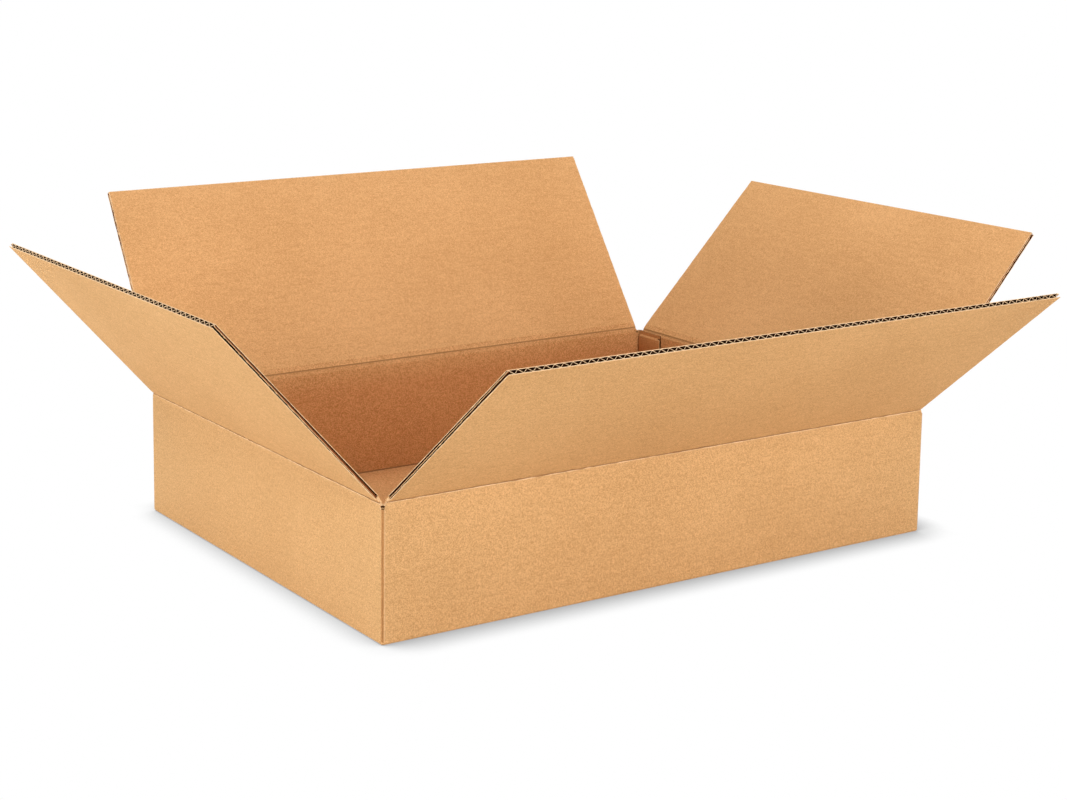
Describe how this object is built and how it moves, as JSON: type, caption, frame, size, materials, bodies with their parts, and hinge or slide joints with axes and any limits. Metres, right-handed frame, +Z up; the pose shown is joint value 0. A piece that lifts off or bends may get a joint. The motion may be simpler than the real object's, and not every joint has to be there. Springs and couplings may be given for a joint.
{
  "type": "shallow corrugated shipping carton",
  "caption": "Shallow open shipping carton of corrugated kraft board: slotted walls, glued base, and flaps with open flutes that fold at scored creases.",
  "frame": {"origin": "middle of the base, on the surface the carton stands on", "axes": "+X along the long walls, -Y towards the front, +Z up"},
  "size_m": [0.8446, 0.6818, 0.2847],
  "materials": {
    "kraft_board": "matt brown kraft paper"
  },
  "bodies": {
    "carton": {"carton_body": "kraft_board"},
    "front_flap": {"front_flap": "kraft_board"},
    "back_flap": {"back_flap": "kraft_board"},
    "left_flap": {"left_flap": "kraft_board"},
    "right_flap": {"right_flap": "kraft_board"}
  },
  "joints": [
    {"name": "front_flap_fold", "type": "hinge", "parent": "carton", "child": "front_flap", "pos_m": [0, -0.205, 0.11425], "axis": [1, 0, 0], "range_deg": [-140, 40]},
    {"name": "back_flap_fold", "type": "hinge", "parent": "carton", "child": "back_flap", "pos_m": [0, 0.205, 0.11425], "axis": [-1, 0, 0], "range_deg": [-123.7, 56.3]},
    {"name": "left_flap_fold", "type": "hinge", "parent": "carton", "child": "left_flap", "pos_m": [-0.2835, 0, 0.112], "axis": [0, -1, 0], "range_deg": [-132.5, 47.5]},
    {"name": "right_flap_fold", "type": "hinge", "parent": "carton", "child": "right_flap", "pos_m": [0.2835, 0, 0.112], "axis": [0, 1, 0], "range_deg": [-133.5, 46.5]}
  ]
}
